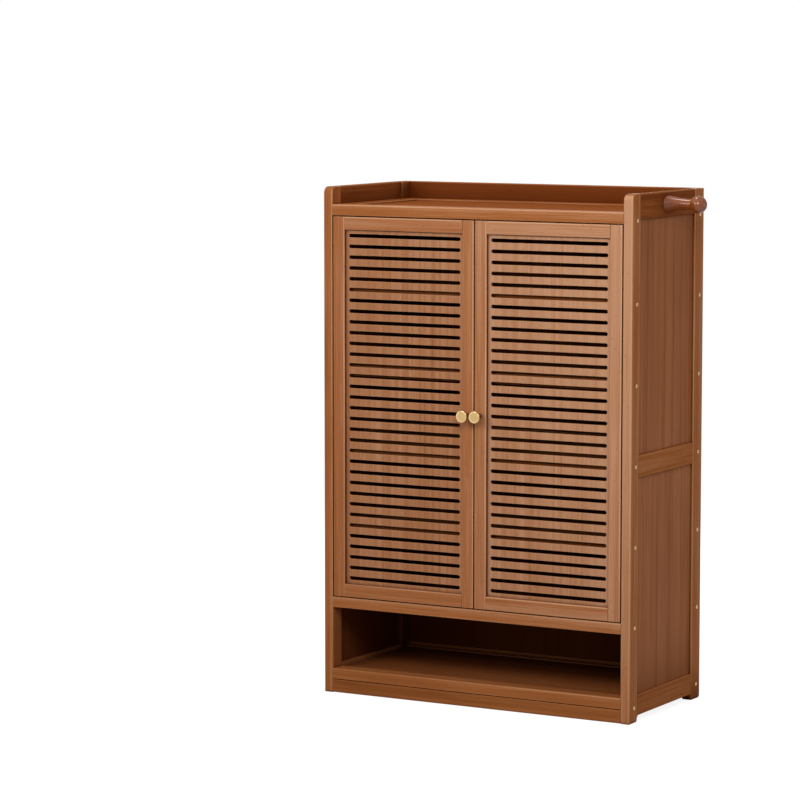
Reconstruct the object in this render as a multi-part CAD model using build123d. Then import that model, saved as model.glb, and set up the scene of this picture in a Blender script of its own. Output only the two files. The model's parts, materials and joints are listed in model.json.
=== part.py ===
from build123d import *
import os

# Bamboo shoe cabinet with framed sides, two slotted inset doors, four inner shelves and an open cubby.
# Millimetres. The origin is on the floor at the middle of the four feet, +Z is up, -Y is the front.

# Overall sizes
width = 700.0
depth = 330.0
height = 1046.0

# Side frames
post_thickness = 20.0
post_width = 36.0
back_post_width = 43.0
side_rail_thickness = 16.0
side_top_rail_height = 50.0
side_mid_rail_height = 44.0
side_bottom_rail_height = 42.0
foot_height = 13.0
foot_fillet = 6.0
foot_corner_radius = 6.0
post_crown_radius = 14.0
edge_radius = 2.0
arris_radius = 1.0
side_panel_thickness = 5.0
side_panel_recess = 4.0
tenon_length = 10.0

# Grooves and fits
groove_depth = 6.0
panel_end_gap = 0.5
fit_clearance = 0.1
hole_clearance = 0.05

# Framed top and gallery
gallery_height = 36.0
gallery_board_thickness = 10.0
top_rail_width = 36.0
top_panel_thickness = 8.0
top_panel_recess = 3.5
stop_height = 11.0

# Shelves and their levels
rail_height = 22.0
lip_depth = 13.5
first_bolt_level = 30.0
level_pitch = 160.0
inner_shelf_count = 4
shelf_setback = 17.5
shelf_front_rail_width = 12.0
shelf_back_rail_width = 14.0
shelf_board_thickness = 8.0
shelf_board_recess = 3.0
shelf_groove_depth = 4.0
bottom_rail_height = 42.0
plinth_floor_gap = 1.0
plinth_joint_gap = 1.2

# Back frame
back_rail_height = 44.0
back_panel_thickness = 4.0
back_panel_setback = 4.0

# Doors
door_gap = 2.0
door_thickness = 13.0
door_member_width = 27.0
door_edge_radius = 2.0
slotted_board_thickness = 4.0
slotted_board_recess = 6.5
slot_count = 33
slot_height = 7.4
slot_side_margin = 7.0
slot_end_margin = 8.0
slot_chamfer = 0.5
pivot_inset = 9.0
pivot_radius = 3.0
pivot_depth_in_door = 25.0
pivot_depth_in_bush = 10.0
bush_radius = 4.5
bush_flange_radius = 5.5
bush_flange_play = 0.2
bush_running_clearance = 0.05

# Knobs
knob_radius = 12.0
knob_reach = 27.0
knob_disc_thickness = 5.0
knob_rim_width = 2.0
knob_dish_depth = 1.0
knob_stem_radius = 4.0
knob_foot_radius = 5.0
knob_foot_thickness = 1.5
knob_stud_radius = 2.0
knob_stud_length = 9.0

# Magnets and strike plates
magnet_radius = 4.0
magnet_length = 4.0
magnet_stand_out = 0.2
strike_length = 20.0
strike_height = 8.0
strike_thickness = 1.0

# Frame bolts
bolt_front_setback = 22.5
bolt_back_setback = 17.0
bolt_head_radius = 3.4
bolt_head_height = 3.0
bolt_head_stand_out = 0.5
bolt_head_chamfer = 0.5
bolt_socket_width = 3.0
bolt_socket_depth = 2.0
bolt_shank_radius = 2.5
bolt_length = 50.0

# Hanging peg
peg_setback = 157.0
peg_base_radius = 17.5
peg_neck_radius = 10.5
peg_ball_radius = 17.3
peg_ball_reach = 67.0
peg_taper_radius = 220.0
peg_tenon_radius = 6.0
peg_tenon_length = 12.0

# Planes and levels that the pieces share
outer_x = width / 2
inner_x = outer_x - post_thickness
side_rail_x = outer_x - side_rail_thickness
side_panel_out = outer_x - side_panel_recess
side_panel_in = side_panel_out - side_panel_thickness
front_y = -depth / 2
back_y = depth / 2
front_post_back = front_y + post_width
back_post_front = back_y - back_post_width
side_middle = (front_post_back + back_post_front) / 2
top_level = height - gallery_height
top_under = top_level - rail_height
stop_under = top_under - stop_height
lip_back = front_y + lip_depth
bolt_front_y = front_y + bolt_front_setback
bolt_back_y = back_y - bolt_back_setback
shelf_levels = [first_bolt_level + level_pitch * (2 + step) for step in range(inner_shelf_count)]
floor_level = first_bolt_level + level_pitch
floor_top = floor_level + rail_height / 2
bottom_top = first_bolt_level + bottom_rail_height / 2
bottom_lip_under = bottom_top - rail_height
bottom_under = bottom_top - bottom_rail_height
mid_rail_level = shelf_levels[1]
back_rail_front = back_y - gallery_board_thickness
back_panel_back = back_y - back_panel_setback
back_panel_front = back_panel_back - back_panel_thickness
shelf_front = front_y + shelf_setback
shelf_front_back = shelf_front + shelf_front_rail_width
shelf_rear_front = back_rail_front - shelf_back_rail_width
top_rear_front = back_rail_front - top_rail_width
top_front_back = front_y + top_rail_width
top_end_in = inner_x - top_rail_width
top_bolt_level = (top_level + stop_under) / 2
bolt_levels = [first_bolt_level, floor_level, *shelf_levels, top_bolt_level]

# Door frame of reference, for the right door
door_in = door_gap / 2
door_out = inner_x - door_gap
door_bottom = floor_top + door_gap
door_top = top_under - door_gap
door_back = front_y + door_thickness
window_in = door_in + door_member_width
window_out = door_out - door_member_width
window_bottom = door_bottom + door_member_width
window_top = door_top - door_member_width
board_front = front_y + slotted_board_recess
board_back = board_front + slotted_board_thickness
pivot_x = door_out - pivot_inset
pivot_y = front_y + door_thickness / 2
meeting_x = door_in + door_member_width / 2
door_middle = (door_bottom + door_top) / 2
magnet_level = (stop_under + door_top) / 2


def block(x_span, y_span, z_span):
    """A box between two planes on each axis."""
    spans = (x_span, y_span, z_span)
    middle = [(low + high) / 2 for low, high in spans]
    size = [high - low for low, high in spans]
    return Pos(*middle) * Box(*size)


def grown(span, amount):
    """A span made longer at both ends."""
    return (span[0] - amount, span[1] + amount)


def along_x(x_from, x_to, y, z, radius):
    """A round bar or hole along X."""
    bar = Cylinder(radius, abs(x_to - x_from), rotation=(0, 90, 0))
    return Pos((x_from + x_to) / 2, y, z) * bar


def along_y(x, y_from, y_to, z, radius):
    """A round bar or hole along Y."""
    bar = Cylinder(radius, abs(y_to - y_from), rotation=(90, 0, 0))
    return Pos(x, (y_from + y_to) / 2, z) * bar


def along_z(x, y, z_from, z_to, radius):
    """A round bar or hole along Z."""
    return Pos(x, y, (z_from + z_to) / 2) * Cylinder(radius, abs(z_to - z_from))


def in_yz(outline, x_span):
    """A closed outline in Y and Z, carried from one X plane to the other."""
    face = make_face(Plane.YZ * outline)
    return Pos(x_span[0], 0, 0) * extrude(face, x_span[1] - x_span[0], dir=(1, 0, 0))


def edges_near(solid, test):
    """The edges whose middle passes a test."""
    return [edge for edge in solid.edges() if test(edge.position_at(0.5))]


def eased(solid, test, radius):
    """Round the edges whose middle passes a test."""
    return fillet(edges_near(solid, test), radius)


def at(value, *planes):
    """Whether a coordinate lies on one of the planes."""
    return min(abs(value - plane) for plane in planes) < fit_clearance


def mirrored(solid):
    """The same piece for the other side of the cabinet."""
    return mirror(solid, about=Plane.YZ)


def save(name, *solids):
    """Write one node: a single solid, or a group of separate ones."""
    shape = solids[0] if len(solids) == 1 else Compound(children=list(solids))
    export_step(shape, f"parts/{name}.step")


def save_pair(name, solid):
    """Write a piece of the right side, and its mirror image for the left."""
    save(f"right_{name}", solid)
    save(f"left_{name}", mirrored(solid))


def bolt_holes_in_post(y):
    """Shank holes and head recesses through a right post at every level."""
    cuts = []
    head_floor = outer_x + bolt_head_stand_out - bolt_head_height
    for level in bolt_levels:
        cuts.append(along_x(inner_x, outer_x, y, level, bolt_shank_radius + hole_clearance))
        cuts.append(along_x(head_floor, outer_x, y, level, bolt_head_radius + fit_clearance))
    return cuts


def bolt_holes_in_rail(y, level):
    """Shank holes in the two ends of a shelf rail."""
    tip = outer_x + bolt_head_stand_out - bolt_length
    right = along_x(tip - fit_clearance, inner_x, y, level, bolt_shank_radius + hole_clearance)
    return [right, mirrored(right)]


def side_rail_span(level_from, level_to):
    """Tenon span of a side rail: short of both edges by the groove depth."""
    return (level_from + groove_depth, level_to - groove_depth)


top_rail_span = (height - side_top_rail_height, height)
mid_rail_span = (mid_rail_level - side_mid_rail_height / 2, mid_rail_level + side_mid_rail_height / 2)
bottom_rail_span = (foot_height, foot_height + side_bottom_rail_height)
side_rail_spans = [top_rail_span, mid_rail_span, bottom_rail_span]
side_panel_spans = {
    "upper": (mid_rail_span[1], top_rail_span[0]),
    "lower": (bottom_rail_span[1], mid_rail_span[0]),
}
side_panel_x = (side_panel_in, side_panel_out)
side_groove_x = grown(side_panel_x, fit_clearance)
gallery_tongue_top = height - groove_depth
back_panel_y = (back_panel_front, back_panel_back)
back_groove_y = grown(back_panel_y, fit_clearance)
back_mid_span = (mid_rail_level - back_rail_height / 2, mid_rail_level + back_rail_height / 2)
back_bottom_span = (foot_height, foot_height + back_rail_height)


def post_mortises(face_y, inward):
    """Mortises and panel grooves in the edge of a post that faces the rails."""
    cuts = []
    for span in side_rail_spans:
        reach = sorted((face_y, face_y + inward * (tenon_length + panel_end_gap)))
        cuts.append(block(side_groove_x, reach, grown(side_rail_span(*span), fit_clearance)))
    for span in side_panel_spans.values():
        reach = sorted((face_y, face_y + inward * groove_depth))
        cuts.append(block(side_groove_x, reach, grown(span, groove_depth)))
    return cuts


def front_post():
    """Front post of the right side: crowned top corner, rounded front edges and foot."""
    bottom = foot_corner_radius
    crown = post_crown_radius
    outline = Curve() + [
        Line((front_y, edge_radius), (front_y, height - crown)),
        RadiusArc((front_y, height - crown), (front_y + crown, height), crown),
        Line((front_y + crown, height), (front_post_back, height)),
        Line((front_post_back, height), (front_post_back, bottom)),
        RadiusArc((front_post_back, bottom), (front_post_back - bottom, 0), bottom),
        Line((front_post_back - bottom, 0), (front_y + edge_radius, 0)),
        RadiusArc((front_y + edge_radius, 0), (front_y, edge_radius), edge_radius),
    ]
    post = eased(
        in_yz(outline, (inner_x, outer_x)),
        lambda point: at(point.X, inner_x, outer_x)
        and (point.Y < front_y + crown or at(point.Z, height))
        and point.Z > edge_radius,
        edge_radius,
    )
    return post - post_mortises(front_post_back, -1) - bolt_holes_in_post(bolt_front_y)


def back_post():
    """Back post of the right side, grooved for the side panels and the back frame."""
    corner = foot_corner_radius
    outline = Curve() + [
        Line((back_y, height), (back_post_front, height)),
        Line((back_post_front, height), (back_post_front, corner)),
        RadiusArc((back_post_front, corner), (back_post_front + corner, 0), -corner),
        Line((back_post_front + corner, 0), (back_y - corner, 0)),
        RadiusArc((back_y - corner, 0), (back_y, corner), -corner),
        Line((back_y, corner), (back_y, height)),
    ]
    post = eased(
        in_yz(outline, (inner_x, outer_x)),
        lambda point: at(point.Z, height) and at(point.X, inner_x, outer_x)
        or at(point.Y, back_y) and at(point.X, outer_x) and point.Z > corner,
        edge_radius,
    )
    post = eased(
        post,
        lambda point: at(point.X, inner_x) and at(point.Y, back_post_front) and point.Z > corner,
        arris_radius,
    )
    groove_z = (foot_height - fit_clearance, gallery_tongue_top + fit_clearance)
    groove = block((inner_x, inner_x + groove_depth), back_groove_y, groove_z)
    return post - post_mortises(back_post_front, 1) - bolt_holes_in_post(bolt_back_y) - groove


def with_tenons(rail, span):
    """Add the tenons that a side rail has at both ends."""
    tenon_y = grown((front_post_back, back_post_front), tenon_length)
    tenon = block(side_panel_x, tenon_y, side_rail_span(*span))
    return rail + tenon


def rail_groove(edge, inward):
    """Panel groove along the upper or lower edge of a side rail."""
    reach = sorted((edge, edge + inward * groove_depth))
    return block(side_groove_x, (front_post_back, back_post_front), reach)


def side_top_rail():
    """Top rail of the right side, with rounded upper edges and the peg's hole."""
    rail = block((side_rail_x, outer_x), (front_post_back, back_post_front), top_rail_span)
    rail = eased(rail, lambda point: at(point.Y, side_middle) and at(point.Z, height), edge_radius)
    rail = eased(rail, lambda point: at(point.Y, side_middle) and at(point.Z, top_rail_span[0]), arris_radius)
    rail = with_tenons(rail, top_rail_span)
    peg_floor = outer_x - peg_tenon_length - panel_end_gap
    hole = along_x(peg_floor, outer_x, peg_y, peg_level, peg_tenon_radius + hole_clearance)
    return rail - rail_groove(top_rail_span[0], 1), hole


def side_mid_rail():
    """Middle rail of the right side, grooved on both edges."""
    rail = block((side_rail_x, outer_x), (front_post_back, back_post_front), mid_rail_span)
    rail = with_tenons(eased(rail, lambda point: at(point.Y, side_middle), arris_radius), mid_rail_span)
    return rail - rail_groove(mid_rail_span[0], 1) - rail_groove(mid_rail_span[1], -1)


def side_bottom_rail():
    """Bottom rail of the right side, whose lower edge runs down to the feet in hollow curves."""
    low, high = bottom_rail_span
    ear = foot_fillet
    front, back = front_post_back, back_post_front
    outline = Curve() + [
        Line((front, high), (back, high)),
        Line((back, high), (back, low - ear)),
        RadiusArc((back, low - ear), (back - ear, low), -ear),
        Line((back - ear, low), (front + ear, low)),
        RadiusArc((front + ear, low), (front, low - ear), -ear),
        Line((front, low - ear), (front, high)),
    ]
    rail = eased(
        in_yz(outline, (side_rail_x, outer_x)),
        lambda point: at(point.X, side_rail_x, outer_x) and not at(point.Y, front, back),
        arris_radius,
    )
    return with_tenons(rail, bottom_rail_span) - rail_groove(high, -1)


def side_panel(span):
    """Thin board held in the grooves of a side frame."""
    reach = groove_depth - panel_end_gap
    return block(
        side_panel_x,
        grown((front_post_back, back_post_front), reach),
        grown(span, reach),
    )


def top_panel_z():
    """Height span of the sunk top panel."""
    high = top_level - top_panel_recess
    return (high - top_panel_thickness, high)


def stepped_rail(high, lip_under, low):
    """Front rail with a lip: the step under the lip takes the doors, or the plinth."""
    outline = Polyline(
        (front_y, high),
        (top_front_back, high),
        (top_front_back, low),
        (lip_back, low),
        (lip_back, lip_under),
        (front_y, lip_under),
        close=True,
    )
    rail = in_yz(outline, (-inner_x, inner_x))
    rail = eased(rail, lambda point: at(point.X, 0) and at(point.Y, top_front_back), arris_radius)
    return rounded_front_edge(rail, high, lip_under)


def rounded_front_edge(rail, high, low):
    """Round the upper front edge of a rail that shows, and ease the lower one."""
    rail = eased(
        rail,
        lambda point: at(point.X, 0) and at(point.Y, front_y) and at(point.Z, high),
        edge_radius,
    )
    return eased(
        rail,
        lambda point: at(point.X, 0) and at(point.Y, front_y) and at(point.Z, low),
        arris_radius,
    )


def bush_hole(level, upward):
    """Holes for the two pivot bushes of one rail."""
    depth_in_rail = upward * (pivot_depth_in_bush + panel_end_gap)
    right = along_z(pivot_x, pivot_y, level, level + depth_in_rail, bush_radius + hole_clearance)
    return [right, mirrored(right)]


def top_front_rail():
    """Front rail of the top: its step is the doors' stop, relieved where the hinge stiles turn."""
    rail = stepped_rail(top_level, top_under, stop_under)
    relief = block((pivot_x - 2 * pivot_inset, inner_x), (lip_back, shelf_front), (stop_under, top_under))
    panel_groove = block(
        (-inner_x, inner_x),
        (top_front_back - groove_depth, top_front_back),
        grown(top_panel_z(), fit_clearance),
    )
    pocket_back = lip_back + magnet_length - magnet_stand_out + hole_clearance
    pocket = along_y(meeting_x, lip_back, pocket_back, magnet_level, magnet_radius + hole_clearance)
    cuts = [relief, mirrored(relief), panel_groove, pocket, mirrored(pocket)]
    return rail - cuts - bush_hole(top_under, 1) - bolt_holes_in_rail(bolt_front_y, top_bolt_level)


def top_back_rail():
    """Back rail of the top, against the gallery board."""
    rail = block((-inner_x, inner_x), (top_rear_front, back_rail_front), (stop_under, top_level))
    rail = eased(rail, lambda point: at(point.X, 0) and at(point.Y, top_rear_front), arris_radius)
    panel_groove = block(
        (-inner_x, inner_x),
        (top_rear_front, top_rear_front + groove_depth),
        grown(top_panel_z(), fit_clearance),
    )
    return rail - panel_groove - bolt_holes_in_rail(bolt_back_y, top_bolt_level)


def top_end_rail():
    """Right end rail of the top, tongued into the front and back rails."""
    rail_y = (top_front_back, top_rear_front)
    tongue_y = grown(rail_y, groove_depth - panel_end_gap)
    rail_x = (top_end_in, side_rail_x - fit_clearance)
    tongue_x = (top_end_in, inner_x)
    rail = block(rail_x, rail_y, (top_under, top_level))
    rail = eased(rail, lambda point: at(point.X, top_end_in) and not at(point.Y, *rail_y), arris_radius)
    rail += block(tongue_x, tongue_y, top_panel_z())
    groove = block(
        (top_end_in, top_end_in + groove_depth),
        tongue_y,
        grown(top_panel_z(), fit_clearance),
    )
    return rail - groove


def top_panel():
    """Sunk panel of the top."""
    reach = groove_depth - panel_end_gap
    return block(
        grown((-top_end_in, top_end_in), reach),
        grown((top_front_back, top_rear_front), reach),
        top_panel_z(),
    )


def back_rail(span, grooves):
    """Rail of the back frame, tongued into the posts and grooved for the thin panels."""
    rail = block((-inner_x, inner_x), (back_rail_front, back_y), span)
    upper_radius = edge_radius if at(span[1], height) else arris_radius
    rail = eased(rail, lambda point: at(point.X, 0) and at(point.Z, span[1]), upper_radius)
    rail = eased(rail, lambda point: at(point.X, 0) and at(point.Z, span[0]), arris_radius)
    reach = groove_depth - panel_end_gap
    tongue_z = (span[0], min(span[1], gallery_tongue_top))
    rail += block(grown((-inner_x, inner_x), reach), back_panel_y, tongue_z)
    for edge, inward in grooves:
        slot = sorted((edge, edge + inward * groove_depth))
        rail -= block(grown((-inner_x, inner_x), groove_depth), back_groove_y, slot)
    return rail


def back_panel(span):
    """Thin panel of the back."""
    reach = groove_depth - panel_end_gap
    return block(grown((-inner_x, inner_x), reach), back_panel_y, grown(span, reach))


def board_z(rail_top):
    """Height span of a shelf board between its rails."""
    high = rail_top - shelf_board_recess
    return (high - shelf_board_thickness, high)


def board_groove(edge_y, inward, rail_top):
    """Groove in a shelf rail for the board."""
    reach = sorted((edge_y, edge_y + inward * shelf_groove_depth))
    return block((-inner_x, inner_x), reach, grown(board_z(rail_top), fit_clearance))


def shelf_board(front_edge, rail_top):
    """Board between a front rail and a back rail."""
    reach = shelf_groove_depth - panel_end_gap
    return block(
        grown((-inner_x, inner_x), -panel_end_gap),
        grown((front_edge, shelf_rear_front), reach),
        board_z(rail_top),
    )


def shelf_rail(y_span, z_span, grooved_edge, inward, bolt_y, bolt_level):
    """Plain shelf rail with its board groove and bolt holes."""
    rail = block((-inner_x, inner_x), y_span, z_span)
    groove = board_groove(grooved_edge, inward, z_span[1])
    return rail - groove - bolt_holes_in_rail(bolt_y, bolt_level)


def rear_shelf_rail(z_span, bolt_level):
    """Back rail of a shelf."""
    span = (shelf_rear_front, back_rail_front)
    return shelf_rail(span, z_span, shelf_rear_front, 1, bolt_back_y, bolt_level)


def save_inner_shelves():
    """Rails and boards of the shelves behind the doors."""
    for number, level in enumerate(shelf_levels, start=1):
        z_span = (level - rail_height / 2, level + rail_height / 2)
        front_span = (shelf_front, shelf_front_back)
        front = shelf_rail(front_span, z_span, shelf_front_back, -1, bolt_front_y, level)
        front = eased(front, lambda point: at(point.X, 0) and at(point.Y, shelf_front), arris_radius)
        save(f"shelf_{number}_rails", front, rear_shelf_rail(z_span, level))
        save(f"shelf_{number}_board", shelf_board(shelf_front_back, z_span[1]))


def save_compartment_floor():
    """Floor under the doors, which is also the cubby's ceiling."""
    z_span = (floor_top - rail_height, floor_top)
    front_span = (front_y, top_front_back)
    front = shelf_rail(front_span, z_span, top_front_back, -1, bolt_front_y, floor_level)
    save("floor_front_rail", rounded_front_edge(front, *reversed(z_span)) - bush_hole(floor_top, -1))
    save("floor_back_rail", rear_shelf_rail(z_span, floor_level))
    save("floor_board", shelf_board(top_front_back, floor_top))


def save_bottom():
    """Bottom of the cubby and the plinth under its lip."""
    front = stepped_rail(bottom_top, bottom_lip_under, bottom_under)
    front -= board_groove(top_front_back, -1, bottom_top)
    save("bottom_front_rail", front - bolt_holes_in_rail(bolt_front_y, first_bolt_level))
    save("bottom_back_rail", rear_shelf_rail((bottom_under, bottom_top), first_bolt_level))
    save("bottom_board", shelf_board(top_front_back, bottom_top))
    plinth_z = (plinth_floor_gap, bottom_lip_under - plinth_joint_gap)
    plinth = block((-inner_x, inner_x), (front_y, lip_back), plinth_z)
    save("plinth", eased(plinth, lambda point: at(point.X, 0) and at(point.Y, front_y), arris_radius))


def door_groove(x_span, z_span):
    """Groove for the slotted board in a door member."""
    return block(x_span, grown((board_front, board_back), fit_clearance), z_span)


def rounded_stile(x_span, radii):
    """Plain stile of the right door; radii gives the radius along each of its upright edges."""
    stile = block(x_span, (front_y, door_back), (door_bottom, door_top))
    for (edge_x, edge_y), radius in radii.items():
        stile = eased(stile, lambda point: at(point.X, edge_x) and at(point.Y, edge_y), radius)
    return eased(stile, lambda point: at(point.Z, door_bottom, door_top), arris_radius)


def hinge_stile():
    """Outer stile of the right door, rounded at the back so that it turns clear of the shelves."""
    radii = {
        (window_out, front_y): door_edge_radius,
        (door_out, front_y): edge_radius,
        (door_out, door_back): door_thickness / 2,
        (window_out, door_back): arris_radius,
    }
    stile = rounded_stile((window_out, door_out), radii)
    stile -= door_groove((window_out, window_out + groove_depth), (door_bottom, door_top))
    hole_radius = pivot_radius + hole_clearance
    hole_depth = pivot_depth_in_door + panel_end_gap
    lower = along_z(pivot_x, pivot_y, door_bottom, door_bottom + hole_depth, hole_radius)
    upper = along_z(pivot_x, pivot_y, door_top - hole_depth, door_top, hole_radius)
    return stile - lower - upper


def meeting_stile():
    """Inner stile of the right door, with the knob's hole and the strike plate's seat."""
    radii = {
        (door_in, front_y): door_edge_radius,
        (window_in, front_y): door_edge_radius,
        (door_in, door_back): arris_radius,
        (window_in, door_back): arris_radius,
    }
    stile = rounded_stile((door_in, window_in), radii)
    stile -= door_groove((window_in - groove_depth, window_in), (door_bottom, door_top))
    hole_depth = knob_stud_length + panel_end_gap
    stile -= along_y(meeting_x, front_y, front_y + hole_depth, door_middle, knob_stud_radius + hole_clearance)
    return stile - strike_plate(fit_clearance)


def door_rail(z_span, groove_edge, inward):
    """Rail between the stiles of the right door, tongued into their grooves."""
    rail = block((window_in, window_out), (front_y, door_back), z_span)
    middle = (window_in + window_out) / 2
    rail = eased(
        rail,
        lambda point: at(point.X, middle) and at(point.Y, front_y) and at(point.Z, groove_edge),
        door_edge_radius,
    )
    rail = eased(
        rail,
        lambda point: at(point.X, middle) and (at(point.Y, door_back) or not at(point.Z, groove_edge))
        and at(point.Y, front_y, door_back),
        arris_radius,
    )
    tongue_x = grown((window_in, window_out), groove_depth - panel_end_gap)
    rail += block(tongue_x, (board_front, board_back), z_span)
    reach = sorted((groove_edge, groove_edge + inward * groove_depth))
    return rail - door_groove(tongue_x, reach)


def slotted_board():
    """Thin board of the right door, milled through with a column of round-ended slots."""
    reach = groove_depth - panel_end_gap
    board_width = window_out - window_in + 2 * reach
    board_height = window_top - window_bottom + 2 * reach
    slot_length = window_out - window_in - 2 * slot_side_margin
    slot_rows = window_top - window_bottom - 2 * slot_end_margin - slot_height
    pitch = slot_rows / (slot_count - 1)
    slots = GridLocations(0, pitch, 1, slot_count) * SlotOverall(slot_length, slot_height)
    face = Rectangle(board_width, board_height) - slots
    board = extrude(face, slotted_board_thickness)
    milled = [wire.edges() for side in board.faces().filter_by(Axis.Z) for wire in side.inner_wires()]
    board = chamfer([edge for edges in milled for edge in edges], slot_chamfer)
    centre = ((window_in + window_out) / 2, board_back, (window_bottom + window_top) / 2)
    return Plane(centre, x_dir=(1, 0, 0), z_dir=(0, -1, 0)) * board


def strike_plate(clearance):
    """Steel plate let into the back of a meeting stile, or its seat with a clearance."""
    half_length = strike_length / 2 + clearance
    half_height = strike_height / 2 + clearance
    return block(
        (meeting_x - half_length, meeting_x + half_length),
        (door_back - strike_thickness - clearance, door_back),
        (magnet_level - half_height, magnet_level + half_height),
    )


def knob():
    """Turned brass knob: stud, foot, stem and a dished disc, about an axis along -Y."""
    disc_back = knob_reach - knob_disc_thickness
    dish_radius = knob_radius - knob_rim_width
    rim_round = knob_rim_width / 2
    outline = Curve() + [
        Polyline(
            (0, -knob_stud_length),
            (knob_stud_radius, -knob_stud_length),
            (knob_stud_radius, 0),
            (knob_foot_radius, 0),
            (knob_foot_radius, knob_foot_thickness),
            (knob_stem_radius, knob_foot_thickness + knob_foot_radius - knob_stem_radius),
            (knob_stem_radius, disc_back - knob_stem_radius),
        ),
        RadiusArc(
            (knob_stem_radius, disc_back - knob_stem_radius),
            (2 * knob_stem_radius, disc_back),
            knob_stem_radius,
        ),
        Line((2 * knob_stem_radius, disc_back), (knob_radius - rim_round, disc_back)),
        RadiusArc((knob_radius - rim_round, disc_back), (knob_radius, disc_back + rim_round), -rim_round),
        Line((knob_radius, disc_back + rim_round), (knob_radius, knob_reach - rim_round)),
        RadiusArc((knob_radius, knob_reach - rim_round), (knob_radius - rim_round, knob_reach), -rim_round),
        Polyline(
            (knob_radius - rim_round, knob_reach),
            (dish_radius, knob_reach - knob_dish_depth),
            (0, knob_reach - knob_dish_depth),
            (0, -knob_stud_length),
        ),
    ]
    turned = revolve(make_face(outline), axis=Axis.Y)
    return Pos(meeting_x, front_y, door_middle) * (Rot(180, 0, 0) * turned)


def pivot_pins():
    """Lower and upper pivot pin of the right door."""
    bush_tip = door_gap + pivot_depth_in_bush
    lower = along_z(pivot_x, pivot_y, door_bottom - bush_tip, door_bottom + pivot_depth_in_door, pivot_radius)
    upper = along_z(pivot_x, pivot_y, door_top - pivot_depth_in_door, door_top + bush_tip, pivot_radius)
    return [lower, upper]


def bush(level, upward):
    """Flanged bush for a pivot pin of the right door, let into a rail."""
    end = level + upward * pivot_depth_in_bush
    flange = level - upward * (door_gap - bush_flange_play)
    body = along_z(pivot_x, pivot_y, level, end, bush_radius)
    body += along_z(pivot_x, pivot_y, flange, level, bush_flange_radius)
    return body - along_z(pivot_x, pivot_y, flange, end, pivot_radius + bush_running_clearance)


def magnet():
    """Disc magnet in the stop behind the right door's meeting stile."""
    face = lip_back - magnet_stand_out
    return along_y(meeting_x, face, face + magnet_length, magnet_level, magnet_radius)


def frame_bolt(y, level):
    """Bolt through a right post into the end of a rail, with a six-sided socket in its head."""
    face = bolt_head_stand_out
    outline = Polyline(
        (0, face - bolt_length),
        (bolt_shank_radius, face - bolt_length),
        (bolt_shank_radius, face - bolt_head_height),
        (bolt_head_radius, face - bolt_head_height),
        (bolt_head_radius, face - bolt_head_chamfer),
        (bolt_head_radius - bolt_head_chamfer, face),
        (0, face),
        close=True,
    )
    turned = revolve(make_face(outline), axis=Axis.Y)
    socket_face = Plane((0, face, 0), z_dir=(0, -1, 0))
    hexagon = RegularPolygon(bolt_socket_width / 2, 6, major_radius=False)
    turned -= socket_face * extrude(hexagon, bolt_socket_depth)
    return Pos(outer_x, y, level) * (Rot(0, 0, -90) * turned)


def frame_bolts():
    """All bolts of both sides."""
    bolts = [frame_bolt(y, level) for y in (bolt_front_y, bolt_back_y) for level in bolt_levels]
    return bolts + [mirrored(bolt) for bolt in bolts]


peg_y = front_y + peg_setback
peg_level = height - side_top_rail_height / 2


def hanging_peg():
    """Turned peg that narrows from its base to a neck and ends in a ball."""
    neck_reach = peg_ball_reach - (peg_ball_radius**2 - peg_neck_radius**2) ** 0.5
    ball_tip = peg_ball_reach + peg_ball_radius
    outline = Curve() + [
        Polyline(
            (0, -peg_tenon_length),
            (peg_tenon_radius, -peg_tenon_length),
            (peg_tenon_radius, 0),
            (peg_base_radius, 0),
        ),
        RadiusArc((peg_base_radius, 0), (peg_neck_radius, neck_reach), peg_taper_radius),
        ThreePointArc(
            (peg_neck_radius, neck_reach),
            (peg_ball_radius, peg_ball_reach),
            (0, ball_tip),
        ),
        Line((0, ball_tip), (0, -peg_tenon_length)),
    ]
    turned = revolve(make_face(outline), axis=Axis.Y)
    return Pos(outer_x, peg_y, peg_level) * (Rot(0, 0, -90) * turned)


def save_sides():
    """Both side frames; only the right top rail has the peg's hole."""
    save_pair("front_post", front_post())
    save_pair("back_post", back_post())
    top_rail, peg_hole = side_top_rail()
    save("right_side_top_rail", top_rail - peg_hole)
    save("left_side_top_rail", mirrored(top_rail))
    save_pair("side_mid_rail", side_mid_rail())
    save_pair("side_bottom_rail", side_bottom_rail())
    for name, span in side_panel_spans.items():
        save_pair(f"side_{name}_panel", side_panel(span))
    save("hanging_peg", hanging_peg())


def save_top():
    """Framed top and the gallery board behind it."""
    save("top_front_rail", top_front_rail())
    save("top_back_rail", top_back_rail())
    save_pair("top_end_rail", top_end_rail())
    save("top_panel", top_panel())


def save_back():
    """Back frame: gallery board, two rails and two thin panels."""
    gallery_span = (stop_under, height)
    save("gallery_board", back_rail(gallery_span, [(stop_under, 1)]))
    save("back_mid_rail", back_rail(back_mid_span, [(back_mid_span[0], 1), (back_mid_span[1], -1)]))
    save("back_bottom_rail", back_rail(back_bottom_span, [(back_bottom_span[1], -1)]))
    save("back_upper_panel", back_panel((back_mid_span[1], stop_under)))
    save("back_lower_panel", back_panel((back_bottom_span[1], back_mid_span[0])))


def save_doors():
    """Both doors, with their knobs, pins and strike plates."""
    save_pair("hinge_stile", hinge_stile())
    save_pair("meeting_stile", meeting_stile())
    save_pair("door_top_rail", door_rail((window_top, door_top), window_top, 1))
    save_pair("door_bottom_rail", door_rail((door_bottom, window_bottom), window_bottom, -1))
    save_pair("slotted_board", slotted_board())
    save_pair("knob", knob())
    save_pair("strike_plate", strike_plate(0))
    pins = pivot_pins()
    save("right_pivot_pins", *pins)
    save("left_pivot_pins", *[mirrored(pin) for pin in pins])


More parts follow.
